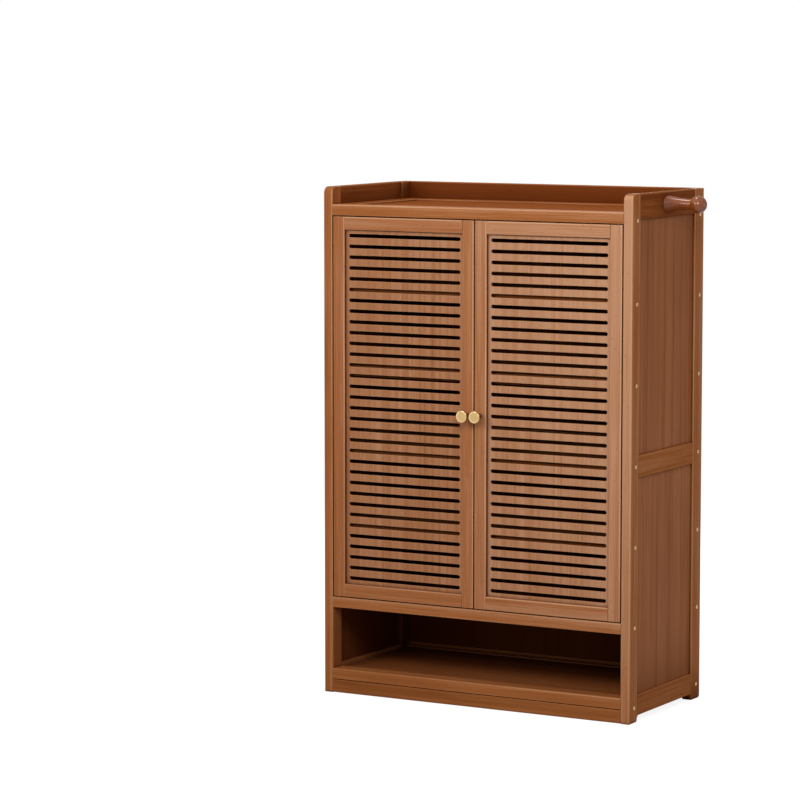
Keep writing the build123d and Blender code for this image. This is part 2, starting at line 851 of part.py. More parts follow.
def save_fittings():
    """Bushes, magnets and bolts of the carcass."""
    bushes = [bush(floor_top, -1), bush(top_under, 1)]
    save("pivot_bushes", *bushes, *[mirrored(piece) for piece in bushes])
    save("door_magnets", magnet(), mirrored(magnet()))
    save("frame_bolts", *frame_bolts())


os.makedirs("parts", exist_ok=True)
save_sides()
save_top()
save_inner_shelves()
save_compartment_floor()
save_bottom()
save_back()
save_doors()
save_fittings()
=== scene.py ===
"""Looks for a bamboo shoe cabinet.

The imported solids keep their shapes. Each of them gets a procedural finish with its own grain direction,
strip pattern and tone. The script then adds the floor, the studio light and the camera.
"""

import json
import logging
import math
from collections.abc import Iterator
from dataclasses import dataclass, field, replace
from enum import Enum
from itertools import count

import bmesh
import bpy
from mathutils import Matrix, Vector

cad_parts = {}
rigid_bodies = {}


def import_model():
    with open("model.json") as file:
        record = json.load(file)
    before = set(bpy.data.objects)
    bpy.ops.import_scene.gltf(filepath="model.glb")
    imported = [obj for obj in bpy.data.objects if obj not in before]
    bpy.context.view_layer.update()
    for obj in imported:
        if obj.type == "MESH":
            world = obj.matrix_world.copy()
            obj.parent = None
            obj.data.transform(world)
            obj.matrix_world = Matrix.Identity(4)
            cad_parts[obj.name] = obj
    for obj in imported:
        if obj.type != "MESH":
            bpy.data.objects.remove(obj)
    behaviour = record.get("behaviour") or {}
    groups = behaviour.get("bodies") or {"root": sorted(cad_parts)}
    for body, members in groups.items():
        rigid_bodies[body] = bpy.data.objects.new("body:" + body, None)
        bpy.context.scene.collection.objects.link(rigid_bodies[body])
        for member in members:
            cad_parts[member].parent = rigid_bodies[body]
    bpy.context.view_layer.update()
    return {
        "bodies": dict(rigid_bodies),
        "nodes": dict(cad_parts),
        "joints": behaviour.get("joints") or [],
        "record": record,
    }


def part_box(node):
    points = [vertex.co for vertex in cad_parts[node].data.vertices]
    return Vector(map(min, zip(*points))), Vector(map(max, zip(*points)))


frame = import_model()

LOG = logging.getLogger("shoe_cabinet")
Socket = bpy.types.NodeSocket
Colour = tuple[float, float, float]
Point = tuple[float, float, float]
Span = tuple[float, float]

WHITE: Colour = (1.0, 1.0, 1.0)

# Tone of single pieces, fitted to the photograph: above 0 is lighter than most, below 0 darker; partly the
# wood's own tone, partly painted light and shade, such as the darker gallery board and gallery rails where
# less light falls
TONE_AND_LIGHT_SHIFTS = {
    "right_front_post": 0.1,
    "right_back_post": 0.1,
    "left_hinge_stile": -0.06,
    "right_hinge_stile": -0.06,
    "right_side_top_rail": -0.4,
    "right_side_bottom_rail": -0.12,
    "right_side_lower_panel": 0.09,
    "left_side_top_rail": -0.25,
    "gallery_board": -0.25,
    "plinth": -0.27,
    "bottom_front_rail": -0.07,
}

# Painted light and shade on single front faces, fitted to the photograph, which the painted light gradient
# below multiplies
PAINTED_FRONT_LIGHT = {
    "right_front_post": 0.33,
    "right_hinge_stile": 0.31,
    "right_door_top_rail": 0.21,
    "right_slotted_board": 0.3,
    "right_door_bottom_rail": 0.2,
    "left_door_bottom_rail": 0.15,
    "right_meeting_stile": 0.12,
    "left_meeting_stile": 0.1,
    "left_door_top_rail": 0.035,
    "left_slotted_board": 0.07,
    "floor_front_rail": 0.33,
    "top_front_rail": 0.04,
    "plinth": 0.1,
    "gallery_board": -0.25,
}

# Usual span of a noise pattern, how strongly its finer layers show, and how many it has
NOISE_SPAN: Span = (0.3, 0.7)
NOISE_ROUGHNESS = 0.6
PLAIN_LAYERS = 2.0
FINE_LAYERS = 3.0

# Cosine of the turn of the softened normal, where an edge begins and where it is full
EDGE_SPAN: Span = (0.998, 0.9)
EDGE_SAMPLES = 4

# Openness where a corner begins and where it is deepest
CORNER_SPAN: Span = (0.85, 0.15)
CORNER_SAMPLES = 6

# How squarely a face has to look to the front, across the strips and along the fibres
FRONT_FACE: Span = (-0.5, -0.9)
NARROW_FACE: Span = (0.8, 0.97)
END_FACE: Span = (0.75, 0.97)

# How free an edge has to be before hands rub it and it takes a painted highlight
FREE_EDGE: Span = (0.4, 0.8)

# Share of the painted light over which edges take a painted highlight
HIGHLIGHT_SPAN: Span = (-0.3, 1.1)

# Painted light across the front, as fitted to the photograph's light: its level at the origin and its
# growth per metre to the right and up
PAINTED_LIGHT_START = 0.25
PAINTED_LIGHT_RIGHT = 0.9
PAINTED_LIGHT_UP = 1.1

# Shift of the pattern from one piece to the next and from strip to strip, in metres
PIECE_SHIFT: Point = (0.0713, 0.0297, 0.618)
STRIP_SHIFT: Point = (0.0, 0.0, 3.0)

# How the patterns are squeezed along the grain, which draws them out
FIBRE_SQUEEZE: Point = (1.0, 1.0, 0.014)
BAND_SQUEEZE: Point = (1.0, 1.0, 0.02)
CLOUD_SQUEEZE: Point = (1.0, 1.0, 0.3)
END_SQUEEZE: Point = (1.0, 1.0, 0.0)

# Features of the bamboo's patterns per metre
STREAK_SCALE = 420.0
FIBRE_SCALE = 1700.0
BAND_SCALE = 55.0
CLOUD_SCALE = 9.0
PORE_SCALE = 900.0

# Distance from the middle of a strip, in strips, over which a glue line appears
SEAM_SPAN: Span = (0.46, 0.5)

# Distance from a cane joint, in cane lengths, over which its line fades in
JOINT_SPAN: Span = (0.0075, 0.002)

# Distance from a pore over which its dark dot fades in
PORE_SPAN: Span = (0.45, 0.15)


class Axis(Enum):
    """A direction of the cabinet: X to the right, Y to the back and Z up."""

    X = 0
    Y = 1
    Z = 2


class Side(Enum):
    """The two sides of the cabinet."""

    LEFT = "left"
    RIGHT = "right"


class Graph:
    """Adds and links the nodes of one material."""

    def __init__(self, name: str) -> None:
        """Start a material that holds only its shader.

        Args:
            name: Name of the new material.
        """
        self.material = bpy.data.materials.new(name)
        self.material.use_nodes = True
        self.tree = self.material.node_tree
        self.shader = self.tree.nodes["Principled BSDF"]

    def feed(self, socket: Socket, value: object) -> None:
        """Link a socket to another one, or set its constant.

        Args:
            socket: Input that takes the value.
            value: Output socket, or a plain number, colour or vector.
        """
        if isinstance(value, Socket):
            self.tree.links.new(value, socket)
        else:
            socket.default_value = value

    def add(self, kind: str, inputs: dict | None = None, **settings: object) -> bpy.types.Node:
        """Add a node.

        Args:
            kind: Blender's name of the node type.
            inputs: Values for its inputs, by name or number.
            **settings: Properties of the node.

        Returns:
            The new node.
        """
        node = self.tree.nodes.new(kind)
        for name, value in settings.items():
            setattr(node, name, value)
        for key, value in (inputs or {}).items():
            self.feed(node.inputs[key], value)
        return node

    def place(self) -> Socket:
        """Give the place on the piece, in metres."""
        return self.add("ShaderNodeTexCoord").outputs["Object"]

    def split(self, vector: Socket) -> list[Socket]:
        """Give the three parts of a vector."""
        return list(self.add("ShaderNodeSeparateXYZ", {0: vector}).outputs)

    def maths(self, operation: str, *values: object) -> Socket:
        """Add a number operation and give its result."""
        return self.add("ShaderNodeMath", dict(enumerate(values)), operation=operation).outputs[0]

    def vector(self, operation: str, *values: object) -> Socket:
        """Add a vector operation and give its vector, or the number of a dot product or length."""
        node = self.add("ShaderNodeVectorMath", dict(enumerate(values)), operation=operation)
        return node.outputs["Value" if operation in ("DOT_PRODUCT", "LENGTH") else "Vector"]

    def noise(self, place: Socket, scale: float, detail: float = PLAIN_LAYERS) -> Socket:
        """Add a noise pattern, with its features per metre and its number of finer layers."""
        inputs = {"Vector": place, "Scale": scale, "Detail": detail, "Roughness": NOISE_ROUGHNESS}
        return self.add("ShaderNodeTexNoise", inputs).outputs["Fac"]

    def smooth_step(self, value: Socket, start: float, end: float) -> Socket:
        """Go smoothly from 0 to 1 as a value goes from the start to the end."""
        inputs = {"Value": value, "From Min": start, "From Max": end}
        return self.add("ShaderNodeMapRange", inputs, interpolation_type="SMOOTHSTEP").outputs["Result"]

    def spread(self, value: Socket, low: float, high: float) -> Socket:
        """Stretch the usual span of a noise pattern to a span of numbers.

        Args:
            value: Noise pattern.
            low: Result where the pattern is low.
            high: Result where the pattern is high.

        Returns:
            The stretched number.
        """
        start, end = NOISE_SPAN
        inputs = {"Value": value, "From Min": start, "From Max": end, "To Min": low, "To Max": high}
        return self.add("ShaderNodeMapRange", inputs).outputs["Result"]

    def blend(self, share: object, first: object, second: object) -> Socket:
        """Blend two colours.

        Args:
            share: Share of the second colour.
            first: First colour.
            second: Second colour.

        Returns:
            The blended colour.
        """
        node = self.add("ShaderNodeMix", data_type="RGBA", blend_type="MIX", clamp_factor=True)
        for name, value in (("Factor_Float", share), ("A_Color", first), ("B_Color", second)):
            socket = next(item for item in node.inputs if item.identifier == name)
            if isinstance(value, tuple):
                value = (*value, 1.0)
            self.feed(socket, value)
        return next(item for item in node.outputs if item.identifier == "Result_Color")

    def ramp(self, value: Socket, stops: dict[float, Colour]) -> Socket:
        """Turn a number into a colour.

        Args:
            value: Number from 0 to 1.
            stops: Colour at each of at least two numbers.

        Returns:
            The colour.
        """
        node = self.add("ShaderNodeValToRGB", {"Fac": value})
        elements = node.color_ramp.elements
        while len(elements) < len(stops):
            elements.new(0.5)
        for element, (position, colour) in zip(elements, sorted(stops.items())):
            element.position = position
            element.color = (*colour, 1.0)
        return node.outputs["Color"]

    def facing(self, axis: Axis) -> Socket:
        """Give 1 where a face looks along the direction and -1 where it looks the other way."""
        normal = self.add("ShaderNodeTexCoord").outputs["Normal"]
        return self.split(normal)[axis.value]

    def edge(self, width: float) -> Socket:
        """Find the outer edges of a piece.

        Args:
            width: How far the edge reaches, in metres.

        Returns:
            A number that is 0 on flat faces and rises to 1 along edges.
        """
        softened = self.add("ShaderNodeBevel", {"Radius": width}, samples=EDGE_SAMPLES).outputs["Normal"]
        straight = self.add("ShaderNodeNewGeometry").outputs["Normal"]
        return self.smooth_step(self.vector("DOT_PRODUCT", softened, straight), *EDGE_SPAN)

    def openness(self, reach: float) -> Socket:
        """Give 1 on open faces, falling to 0 where other faces lie within the reach, in metres."""
        inputs = {"Distance": reach}
        return self.add("ShaderNodeAmbientOcclusion", inputs, samples=CORNER_SAMPLES).outputs["AO"]

    def shade_and_stain(self, reach: float, strength: float) -> Socket:
        """Find corners and joints, where stain and dust gather and painted shade falls.

        Args:
            reach: How far a corner reaches, in metres.
            strength: Result in the deepest corner.

        Returns:
            A number that is 0 on open faces and rises towards corners.
        """
        start, end = CORNER_SPAN
        inputs = {"Value": self.openness(reach), "From Min": start, "From Max": end, "To Max": strength}
        return self.add("ShaderNodeMapRange", inputs).outputs["Result"]

    def finish(self, colour: Socket, roughness: Socket, height: Socket, depth: float) -> None:
        """Connect the shader.

        Args:
            colour: Base colour.
            roughness: Roughness.
            height: Pattern that raises the surface.
            depth: Height of the pattern in metres.
        """
        bump = self.add("ShaderNodeBump", {"Height": height, "Distance": depth, "Strength": 1.0})
        self.feed(self.shader.inputs["Base Color"], colour)
        self.feed(self.shader.inputs["Roughness"], roughness)
        self.feed(self.shader.inputs["Normal"], bump.outputs["Normal"])

    def set_shader(self, **values: float) -> None:
        """Set constants of the shader, whose names are written with underscores."""
        for name, value in values.items():
            self.shader.inputs[name.replace("_", " ")].default_value = value


@dataclass(frozen=True)
class Figure:
    """Patterns of one piece of bamboo.

    Attributes:
        place: Place across the strips, through them and along the grain.
        chance: Random number of each strip.
        seam: Glue lines between the strips.
        joint: Lines across a strip where the cane had its joints.
        streak: Long streaks.
        fibre: Fine fibres.
        painted_light: How much painted light a place has, after the photograph's light: most at the top
            right.
    """

    place: Socket
    chance: Socket
    seam: Socket
    joint: Socket
    streak: Socket
    fibre: Socket
    painted_light: Socket


@dataclass(frozen=True)
class Bamboo:
    """Laminated bamboo, stained and lacquered.

    Attributes:
        dark: Colour of the darkest fibres.
        middle: Colour of most of the wood.
        light: Colour of the lightest fibres.
        worn: Colour of rubbed edges, and of the painted highlight along edges that catch the light.
        stain: Colour of the stain that gathers in corners, also used as painted shade in corners, gaps and
            recesses.
        burnt: Colour that the cutters leave on faces across the fibres.
        strip_width: Width of the laminated strips, in metres.
        strip_depth: Width of the strips the other way across the grain, in metres.
        node_spacing: Distance between the joints of the bamboo cane, in metres.
        strip_contrast: How much the strips differ.
        band_contrast: How much broader bands of strips differ.
        streak_contrast: How much the streaks differ.
        fibre_contrast: How much the fine fibres differ, up and down.
        cloud_contrast: How much broad patches differ, up and down.
        seam_stain: How dark the glue lines are.
        joint_stain: How dark the lines of the cane joints are.
        pore_stain: How dark the dots on faces across the fibres are.
        cut_stain: How dark the faces are that cut across the fibres.
        narrow_face_shade: How dark the narrow faces beside the strips are painted, as painted shade in gaps
            and on the walls of recesses.
        corner_reach: How far the stain and painted shade reach out of a corner, in metres.
        corner_shade_and_stain: How much stain and painted shade the deepest corner takes.
        corner_dulling: How much rougher the deepest corner is.
        edge_width: Width of the rubbed line with its painted highlight along the edge that catches the
            light, in metres.
        rounding: Width of the rubbed line, with its painted highlight, along every edge, in metres.
        rounding_wear_and_highlight: How much every edge is rubbed and given a painted highlight.
        wear_span: Share of a rubbed or highlit edge that is worn, in dark and in light streaks.
        hand_reach: How much free room an edge needs to be rubbed and highlit, in metres.
        gloss: Roughness of the lacquer at its smoothest.
        gloss_spread: How much rougher its dullest streaks are.
        reflection: Strength of the reflections in the lacquer.
        coat: Strength of the clear top coat.
        coat_gloss: Roughness of the top coat.
        coat_density: Optical density of the top coat.
        relief: Height of the fibres that can be felt, in metres.
        seam_relief: How far glue lines are sunk, in heights of the fibres.
        joint_relief: How far cane joints are raised, in heights of the fibres.
    """

    dark: Colour = (0.190, 0.055, 0.014)
    middle: Colour = (0.36, 0.124, 0.038)
    light: Colour = (0.505, 0.260, 0.145)
    worn: Colour = (0.64, 0.350, 0.190)
    stain: Colour = (0.100, 0.021, 0.004)
    burnt: Colour = (0.070, 0.016, 0.004)
    strip_width: float = 0.0062
    strip_depth: float = 0.019
    node_spacing: float = 0.26
    strip_contrast: float = 0.16
    band_contrast: float = 0.10
    streak_contrast: float = 0.30
    fibre_contrast: float = 0.07
    cloud_contrast: float = 0.08
    seam_stain: float = 0.16
    joint_stain: float = 0.22
    pore_stain: float = 0.5
    cut_stain: float = 0.3
    narrow_face_shade: float = 0.0
    corner_reach: float = 0.011
    corner_shade_and_stain: float = 0.85
    corner_dulling: float = 0.5
    edge_width: float = 0.0035
    rounding: float = 0.0026
    rounding_wear_and_highlight: float = 0.5
    wear_span: Span = (0.45, 0.9)
    hand_reach: float = 0.12
    gloss: float = 0.29
    gloss_spread: float = 0.1
    reflection: float = 0.08
    coat: float = 0.0
    coat_gloss: float = 0.17
    coat_density: float = 2.1
    relief: float = 0.00006
    seam_relief: float = 0.5
    joint_relief: float = 0.6

    def material(self, name: str, grain: Axis, across: Axis, seed: int) -> bpy.types.Material:
        """Make the finish of one piece.

        Args:
            name: Name of the piece.
            grain: Direction of its fibres.
            across: Direction in which its strips lie side by side.
            seed: Number of the piece, which shifts its pattern.

        Returns:
            The material.
        """
        graph = Graph(f"bamboo_{name}")
        place = self._along_grain(graph, grain, across, seed)
        figure = self._figure(graph, place)
        tone = self._tone(graph, name, figure)
        colour = graph.ramp(tone, {0.0: self.dark, 0.5: self.middle, 1.0: self.light})
        colour = graph.blend(graph.maths("MULTIPLY", figure.seam, self.seam_stain), colour, self.dark)
        colour = graph.blend(graph.maths("MULTIPLY", figure.joint, self.joint_stain), colour, self.dark)
        colour = self._end_grain(graph, colour, place, grain)
        # Painted shade on the narrow faces beside the strips, in gaps and on the walls of recesses
        narrow = graph.smooth_step(graph.maths("ABSOLUTE", graph.facing(across)), *NARROW_FACE)
        colour = graph.blend(graph.maths("MULTIPLY", narrow, self.narrow_face_shade), colour, self.stain)
        # Rubbed edges, and painted highlights along the edges that catch the light
        colour = graph.blend(self._wear(graph, name, grain, figure), colour, self.worn)
        # Stain and painted shade where other faces lie near: corners, joints, recesses and the inside of
        # the cabinet
        shade_and_stain = graph.shade_and_stain(self.corner_reach, self.corner_shade_and_stain)
        colour = graph.blend(shade_and_stain, colour, self.stain)
        lacquer = graph.spread(figure.streak, self.gloss + self.gloss_spread, self.gloss)
        roughness = graph.maths("MULTIPLY_ADD", shade_and_stain, self.corner_dulling, lacquer)
        height = graph.maths("ADD", figure.fibre, figure.streak)
        height = graph.maths("MULTIPLY_ADD", figure.seam, -self.seam_relief, height)
        height = graph.maths("MULTIPLY_ADD", figure.joint, self.joint_relief, height)
        graph.finish(colour, roughness, height, self.relief)
        graph.set_shader(Coat_Weight=self.coat, Coat_Roughness=self.coat_gloss, Coat_IOR=self.coat_density)
        graph.set_shader(Specular_IOR_Level=self.reflection)
        return graph.material

    def _along_grain(self, graph: Graph, grain: Axis, across: Axis, seed: int) -> Socket:
        """Turn the place on the piece: the first part runs across the strips, the third along the grain.

        Args:
            graph: Material that is made.
            grain: Direction of the fibres.
            across: Direction in which the strips lie side by side.
            seed: Number of the piece.

        Returns:
            The turned and shifted place.
        """
        parts = graph.split(graph.place())
        through = next(axis for axis in Axis if axis not in (grain, across))
        order = [parts[axis.value] for axis in (across, through, grain)]
        turned = graph.add("ShaderNodeCombineXYZ", dict(enumerate(order))).outputs[0]
        return graph.vector("ADD", turned, tuple(step * seed for step in PIECE_SHIFT))

    def _figure(self, graph: Graph, place: Socket) -> Figure:
        """Make the patterns of a piece.

        Args:
            graph: Material that is made.
            place: Place along the grain.

        Returns:
            The patterns.
        """
        cells = graph.vector("MULTIPLY", place, (1 / self.strip_width, 1 / self.strip_depth, 0.0))
        chance = graph.add("ShaderNodeTexWhiteNoise", {"Vector": graph.vector("FLOOR", cells)}).outputs
        strip_shift = graph.vector("MULTIPLY", chance["Color"], STRIP_SHIFT)
        shifted = graph.vector("ADD", place, strip_shift)
        stretched = graph.vector("MULTIPLY", shifted, FIBRE_SQUEEZE)
        return Figure(
            place=place,
            chance=chance["Value"],
            seam=self._seam(graph, cells),
            joint=self._cane_joint(graph, shifted, chance["Value"]),
            streak=graph.noise(stretched, STREAK_SCALE, FINE_LAYERS),
            fibre=graph.noise(stretched, FIBRE_SCALE),
            painted_light=self._painted_light(graph),
        )

    def _tone(self, graph: Graph, name: str, figure: Figure) -> Socket:
        """Find how light or dark the wood is.

        Args:
            graph: Material that is made.
            name: Name of the piece.
            figure: Its patterns.

        Returns:
            A number that is 0 where the wood is darkest and 1 where it is lightest.
        """
        cloud = graph.noise(graph.vector("MULTIPLY", figure.place, CLOUD_SQUEEZE), CLOUD_SCALE)
        band = graph.noise(graph.vector("MULTIPLY", figure.place, BAND_SQUEEZE), BAND_SCALE)
        average = 0.5 + TONE_AND_LIGHT_SHIFTS.get(name, 0.0)
        half = self.streak_contrast / 2
        tone = graph.spread(figure.streak, average - half, average + half)
        strip = graph.maths("SUBTRACT", figure.chance, 0.5)
        tone = graph.maths("MULTIPLY_ADD", strip, self.strip_contrast, tone)
        for pattern, contrast in (
            (figure.fibre, self.fibre_contrast),
            (cloud, self.cloud_contrast),
            (band, self.band_contrast),
        ):
            tone = graph.maths("ADD", tone, graph.spread(pattern, -contrast, contrast))
        # Painted light on front faces, lighter towards the upper right, and painted shade where a piece's
        # front shift is below 0
        front = graph.smooth_step(graph.facing(Axis.Y), *FRONT_FACE)
        lit = graph.maths("MULTIPLY", front, figure.painted_light)
        return graph.maths("MULTIPLY_ADD", lit, PAINTED_FRONT_LIGHT.get(name, 0.0), tone)

    def _seam(self, graph: Graph, cells: Socket) -> Socket:
        """Find the glue lines between strips.

        Args:
            graph: Material that is made.
            cells: Place counted in strips.

        Returns:
            A number that is 1 on a glue line.
        """
        parts = graph.split(graph.vector("FRACTION", cells))
        off_middle = [graph.maths("ABSOLUTE", graph.maths("SUBTRACT", part, 0.5)) for part in parts[:2]]
        return graph.smooth_step(graph.maths("MAXIMUM", *off_middle), *SEAM_SPAN)

    def _cane_joint(self, graph: Graph, place: Socket, chance: Socket) -> Socket:
        """Find the thin lines across a strip where the cane had its joints.

        Args:
            graph: Material that is made.
            place: Place along the grain, shifted for each strip.
            chance: Random number of the strip.

        Returns:
            A number that is 1 on such a line.
        """
        along = graph.split(place)[2]
        lengths = graph.maths("MULTIPLY_ADD", along, 1 / self.node_spacing, chance)
        off = graph.maths("ABSOLUTE", graph.maths("SUBTRACT", graph.maths("FRACT", lengths), 0.5))
        return graph.smooth_step(off, *JOINT_SPAN)

    def _painted_light(self, graph: Graph) -> Socket:
        """Find how much painted light a place has, after the photograph's light: most at the top right.

        This is painted light: the finish keeps this share of the photograph's light under any lamps.

        Args:
            graph: Material that is made.

        Returns:
            A number that is about 0 at the lower left and 1.7 at the upper right.
        """
        right, _, level = graph.split(graph.place())
        low = graph.maths("MULTIPLY_ADD", right, PAINTED_LIGHT_RIGHT, PAINTED_LIGHT_START)
        return graph.maths("MULTIPLY_ADD", level, PAINTED_LIGHT_UP, low)

    def _wear(self, graph: Graph, name: str, grain: Axis, figure: Figure) -> Socket:
        """Find the edges that hands have rubbed, and the edges with a painted highlight where the light
        falls.

        Args:
            graph: Material that is made.
            name: Name of the piece.
            grain: Direction of the fibres.
            figure: Patterns of the piece.

        Returns:
            A number that is 0 on faces and rises along such edges.
        """
        # Every edge is rubbed, with a painted highlight on its rounding
        rounding = graph.maths("MULTIPLY", graph.edge(self.rounding), self.rounding_wear_and_highlight)
        # Painted highlight along the edge that faces the light, strongest where the painted light is
        highlit = graph.smooth_step(figure.painted_light, *HIGHLIGHT_SPAN)
        highlight_line = graph.maths("MULTIPLY", self._highlight_line(graph, name, grain), highlit)
        edge = graph.maths("MAXIMUM", rounding, highlight_line)
        wear = graph.maths("MULTIPLY", edge, graph.spread(figure.streak, *self.wear_span))
        free = graph.smooth_step(graph.openness(self.hand_reach), *FREE_EDGE)
        return graph.maths("MULTIPLY", wear, free)

    def _highlight_line(self, graph: Graph, name: str, grain: Axis) -> Socket:
        """Find the long edge of a squared piece with a painted highlight, where the light falls: in front,
        at its top or right.

        Args:
            graph: Material that is made.
            name: Name of the piece.
            grain: Direction of the fibres.

        Returns:
            A number that is 1 along that edge.
        """
        low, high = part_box(name)
        corner = (high.x, low.y, high.z)
        off_corner = graph.vector("ABSOLUTE", graph.vector("SUBTRACT", graph.place(), corner))
        parts = graph.split(off_corner)
        inwards = graph.maths("MAXIMUM", *[parts[axis.value] for axis in Axis if axis is not grain])
        crest = self.edge_width / 3
        inner = graph.smooth_step(inwards, self.edge_width, crest)
        return graph.maths("MULTIPLY", inner, graph.smooth_step(inwards, 0.0, crest))

    def _end_grain(self, graph: Graph, colour: Socket, place: Socket, grain: Axis) -> Socket:
        """Darken and dot the faces that cut across the fibres.

        Args:
            graph: Material that is made.
            colour: Colour of the long faces.
            place: Place along the grain.
            grain: Direction of the fibres.

        Returns:
            The colour with end grain.
        """
        end = graph.smooth_step(graph.maths("ABSOLUTE", graph.facing(grain)), *END_FACE)
        pores = {"Vector": graph.vector("MULTIPLY", place, END_SQUEEZE), "Scale": PORE_SCALE}
        off_pore = graph.add("ShaderNodeTexVoronoi", pores).outputs["Distance"]
        pore = graph.maths("MULTIPLY", graph.smooth_step(off_pore, *PORE_SPAN), self.pore_stain)
        cut = graph.blend(pore, graph.blend(self.cut_stain, colour, self.burnt), self.burnt)
        return graph.blend(end, colour, cut)


@dataclass(frozen=True)
class TurnedMetal:
    """Metal with the fine rings that turning leaves.

    Attributes:
        base: Colour of the metal.
        worn: Colour of its stains.
        polished: Colour along edges that hands rub, which also paints a highlight on their rims.
        tarnish: Colour in corners, where it is never rubbed, which also paints the shade there.
        gloss: Roughness at its smoothest.
        stain_dulling: How much rougher its stains are.
        grit_dulling: How much rougher its fine grit is.
        ring_pitch: Distance between rings, in metres.
        ring_relief: Height of the rings, in heights of the grit.
        relief: Height of the grit, in metres.
        grit_scale: Features of the grit per metre.
        stain_scale: Features of the stains per metre.
        stain_share: How much the strongest stain covers.
        grit_share: How much the coarsest grit is polished.
        edge_polish_and_highlight: How much an edge is polished and given a painted highlight.
        corner_tarnish_and_shade: How much the deepest corner is tarnished and given painted shade.
        edge_width: Width of the polished line with its painted highlight along an edge, in metres.
        corner_reach: How far the tarnish and painted shade reach out of a corner, in metres.
    """

    base: Colour
    worn: Colour
    polished: Colour
    tarnish: Colour
    gloss: float = 0.22
    stain_dulling: float = 0.05
    grit_dulling: float = 0.03
    ring_pitch: float = 0.0006
    ring_relief: float = 0.3
    relief: float = 0.000006
    grit_scale: float = 1500.0
    stain_scale: float = 110.0
    stain_share: float = 0.55
    grit_share: float = 0.3
    edge_polish_and_highlight: float = 0.85
    corner_tarnish_and_shade: float = 0.9
    edge_width: float = 0.0008
    corner_reach: float = 0.002

    def material(self, name: str, centre: Vector, axis: Axis, foot: float = math.inf) -> bpy.types.Material:
        """Make the finish for a piece that was turned about an axis.

        Args:
            name: Name of the piece.
            centre: A point on the axis.
            axis: Direction of the axis.
            foot: Where along the axis the piece stands on another one, in metres from the point, where
                tarnish and painted shade darken it.

        Returns:
            The material.
        """
        graph = Graph(f"metal_{name}")
        place = graph.place()
        local = graph.vector("SUBTRACT", place, tuple(centre))
        flat = tuple(0.0 if other is axis else 1.0 for other in Axis)
        radius = graph.vector("LENGTH", graph.vector("MULTIPLY", local, flat))
        rings = graph.maths("SINE", graph.maths("MULTIPLY", radius, math.tau / self.ring_pitch))
        grit = graph.noise(place, self.grit_scale, FINE_LAYERS)
        stain = graph.noise(place, self.stain_scale, FINE_LAYERS)
        colour = graph.blend(graph.spread(stain, 0.0, self.stain_share), self.base, self.worn)
        colour = graph.blend(graph.spread(grit, 0.0, self.grit_share), colour, self.polished)
        # Polish and painted highlight along edges
        edge = graph.maths("MULTIPLY", graph.edge(self.edge_width), self.edge_polish_and_highlight)
        colour = graph.blend(edge, colour, self.polished)
        # Tarnish and painted shade in corners
        colour = graph.blend(graph.shade_and_stain(self.corner_reach, self.corner_tarnish_and_shade), colour, self.tarnish)
        # Tarnish and painted shade at the foot, where the piece stands on another one
        if math.isfinite(foot):
            along = graph.split(local)[axis.value]
            near = graph.smooth_step(along, foot - self.corner_reach, foot - self.corner_reach / 3)
            colour = graph.blend(graph.maths("MULTIPLY", near, self.corner_tarnish_and_shade), colour, self.tarnish)
        stain_gloss = graph.spread(stain, self.gloss, self.gloss + self.stain_dulling)
        roughness = graph.maths("ADD", stain_gloss, graph.spread(grit, 0.0, self.grit_dulling))
        height = graph.maths("MULTIPLY_ADD", rings, self.ring_relief, grit)
        graph.finish(colour, roughness, height, self.relief)
        graph.set_shader(Metallic=1.0)
        return graph.material


@dataclass(frozen=True)
class BrushedMetal:
    """Plate or pin with fine lines one way.

    Attributes:
        base: Colour of the metal.
        worn: Colour of its stains.
        gloss: Roughness at its smoothest.
        gloss_spread: How much rougher its dullest lines are.
        line_scale: Brushed lines per metre.
        line_squeeze: How the pattern is squeezed along the lines, which draws them out.
        stain_scale: Features of the stains per metre.
        stain_share: How much the strongest stain covers.
        relief: Depth of the lines, in metres.
    """

    base: Colour = (0.56, 0.56, 0.55)
    worn: Colour = (0.36, 0.35, 0.34)
    gloss: float = 0.28
    gloss_spread: float = 0.16
    line_scale: float = 5000.0
    line_squeeze: float = 0.02
    stain_scale: float = 160.0
    stain_share: float = 0.5
    relief: float = 0.00001

    def material(self, name: str, grain: Axis) -> bpy.types.Material:
        """Make the finish.

        Args:
            name: Name of the piece.
            grain: Direction of the brushed lines.

        Returns:
            The material.
        """
        graph = Graph(f"metal_{name}")
        place = graph.place()
        squeeze = tuple(self.line_squeeze if axis is grain else 1.0 for axis in Axis)
        lines = graph.noise(graph.vector("MULTIPLY", place, squeeze), self.line_scale, FINE_LAYERS)
        stain = graph.noise(place, self.stain_scale, FINE_LAYERS)
        colour = graph.blend(graph.spread(stain, 0.0, self.stain_share), self.base, self.worn)
        roughness = graph.spread(lines, self.gloss, self.gloss + self.gloss_spread)
        graph.finish(colour, roughness, lines, self.relief)
        graph.set_shader(Metallic=1.0)
        return graph.material


